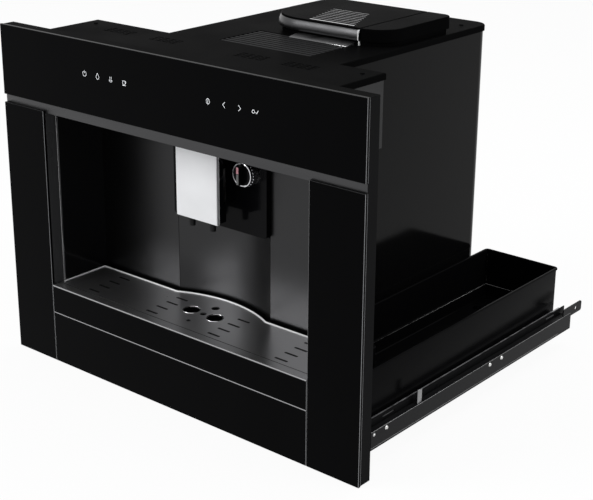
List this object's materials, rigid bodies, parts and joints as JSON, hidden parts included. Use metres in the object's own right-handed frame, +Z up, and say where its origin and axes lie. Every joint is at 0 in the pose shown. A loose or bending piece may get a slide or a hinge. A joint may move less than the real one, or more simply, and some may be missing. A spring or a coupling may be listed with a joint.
{
  "type": "built in coffee machine",
  "caption": "Built-in coffee machine on pull-out rails: black glass fascia, cup cavity with drip drawer, height-adjustable spout, steam knob, lidded bean hopper, lift-out water tank.",
  "frame": {"origin": "middle of the niche's lower front edge, on the rear face of the fascia frame", "axes": "+X is the viewer's right, +Y points into the cabinet, +Z is up; the fascia faces -Y"},
  "size_m": [0.595, 0.54, 0.4623],
  "materials": {
    "black_glass": "back-painted black glass, polished",
    "frame_grey": "dark grey satin lacquer",
    "cavity_black": "black gloss enamel",
    "steel": "brushed stainless steel",
    "silver": "satin silver",
    "chrome": "polished chrome",
    "black_plastic": "black matte plastic",
    "gloss_black": "black gloss plastic",
    "zinc": "light grey zinc-coated sheet",
    "body_grey": "dark grey powder coat",
    "tank_black": "smoked black plastic",
    "rail_steel": "black-coated steel",
    "board_green": "solder-mask green",
    "boiler_metal": "cast aluminium",
    "motor_metal": "grey motor case",
    "burr_steel": "hardened steel",
    "hose_rubber": "pale silicone"
  },
  "bodies": {
    "cabinet_rails": {"cabinet_rail_left": "rail_steel", "cabinet_rail_right": "rail_steel", "rail_rivets": "steel"},
    "middle_slides": {"middle_slide_left": "steel", "middle_slide_right": "steel"},
    "machine": {"chassis_base": "zinc", "runner_left": "rail_steel", "runner_right": "rail_steel", "fascia_top": "frame_grey", "fascia_left": "frame_grey", "fascia_right": "frame_grey", "fascia_bottom": "frame_grey", "control_glass": "black_glass", "left_column_glass": "black_glass", "right_column_glass": "black_glass", "lower_glass": "black_glass", "touch_board": "board_green", "cavity_left_wall": "cavity_black", "cavity_right_wall": "cavity_black", "cavity_back_left": "cavity_black", "cavity_back_right": "cavity_black", "cavity_ceiling": "cavity_black", "tray_deck": "cavity_black", "dispenser_block": "gloss_black", "steam_valve": "boiler_metal", "front_housing": "zinc", "core_left_panel": "body_grey", "core_right_panel": "body_grey", "core_rear_panel": "body_grey", "top_cover": "body_grey", "ribbed_insert": "body_grey", "lid_plinth": "black_plastic", "bean_hopper": "tank_black", "grinder_housing": "black_plastic", "grinder_motor": "motor_metal", "brew_unit": "black_plastic", "boiler": "boiler_metal", "pump": "motor_metal", "control_board": "board_green", "power_inlet": "black_plastic", "tank_socket": "black_plastic", "water_hose": "hose_rubber"},
    "drip_drawer": {"drip_tub": "black_plastic", "tray_glass": "black_glass", "tray_trim": "steel"},
    "drip_grid": {"drip_grid": "steel"},
    "grounds": {"grounds_container": "black_plastic", "grounds_front": "steel"},
    "spout": {"spout_cover": "silver", "spout_body": "gloss_black", "spout_nozzles": "black_plastic"},
    "steam_knob": {"knob_grip": "gloss_black", "knob_ring": "chrome"},
    "bean_lid": {"bean_lid": "gloss_black"},
    "powder_lid": {"powder_lid": "gloss_black"},
    "grind_dial": {"grind_dial": "black_plastic"},
    "burr": {"lower_burr": "burr_steel"},
    "brew_piston": {"brew_piston": "black_plastic"},
    "water_tank": {"water_tank": "tank_black", "tank_outlet": "black_plastic"}
  },
  "joints": [
    {"name": "machine_slide", "type": "slide", "parent": "cabinet_rails", "child": "machine", "axis": [0, -1, 0], "range_m": [0, 0.38]},
    {"name": "middle_slide", "type": "slide", "parent": "cabinet_rails", "child": "middle_slides", "axis": [0, -1, 0], "range_m": [0, 0.19]},
    {"name": "drip_drawer_slide", "type": "slide", "parent": "machine", "child": "drip_drawer", "axis": [0, -1, 0], "range_m": [0, 0.145]},
    {"name": "drip_grid_lift", "type": "slide", "parent": "drip_drawer", "child": "drip_grid", "axis": [0, 0, 1], "range_m": [0, 0.04]},
    {"name": "grounds_slide", "type": "slide", "parent": "machine", "child": "grounds", "axis": [0, -1, 0], "range_m": [0, 0.115]},
    {"name": "spout_height", "type": "slide", "parent": "machine", "child": "spout", "axis": [0, 0, 1], "range_m": [-0.07, 0.012]},
    {"name": "steam_knob_turn", "type": "hinge", "parent": "machine", "child": "steam_knob", "pos_m": [0.0545, 0.05, 0.2825], "axis": [0, -1, 0], "range_deg": [0, 270]},
    {"name": "bean_lid_hinge", "type": "hinge", "parent": "machine", "child": "bean_lid", "pos_m": [0.0075, 0.373, 0.4293], "axis": [-1, 0, 0], "range_deg": [0, 80]},
    {"name": "powder_lid_hinge", "type": "hinge", "parent": "machine", "child": "powder_lid", "pos_m": [0.1158, 0.373, 0.4293], "axis": [-1, 0, 0], "range_deg": [0, 80]},
    {"name": "grind_dial_turn", "type": "hinge", "parent": "machine", "child": "grind_dial", "pos_m": [0.078, 0.27, 0.418], "axis": [0, 0, 1], "range_deg": [-45, 45]},
    {"name": "burr_spin", "type": "hinge", "parent": "machine", "child": "burr", "pos_m": [0, 0.322, 0.3], "axis": [0, 0, 1], "continuous": true},
    {"name": "brew_piston_slide", "type": "slide", "parent": "machine", "child": "brew_piston", "axis": [0, 0, 1], "range_m": [0, 0.03]},
    {"name": "water_tank_lift", "type": "slide", "parent": "machine", "child": "water_tank", "axis": [0, 0, 1], "range_m": [0, 0.12]}
  ],
  "couplings": [
    {"joint": "middle_slide", "follows": "machine_slide", "ratio": 0.5}
  ]
}
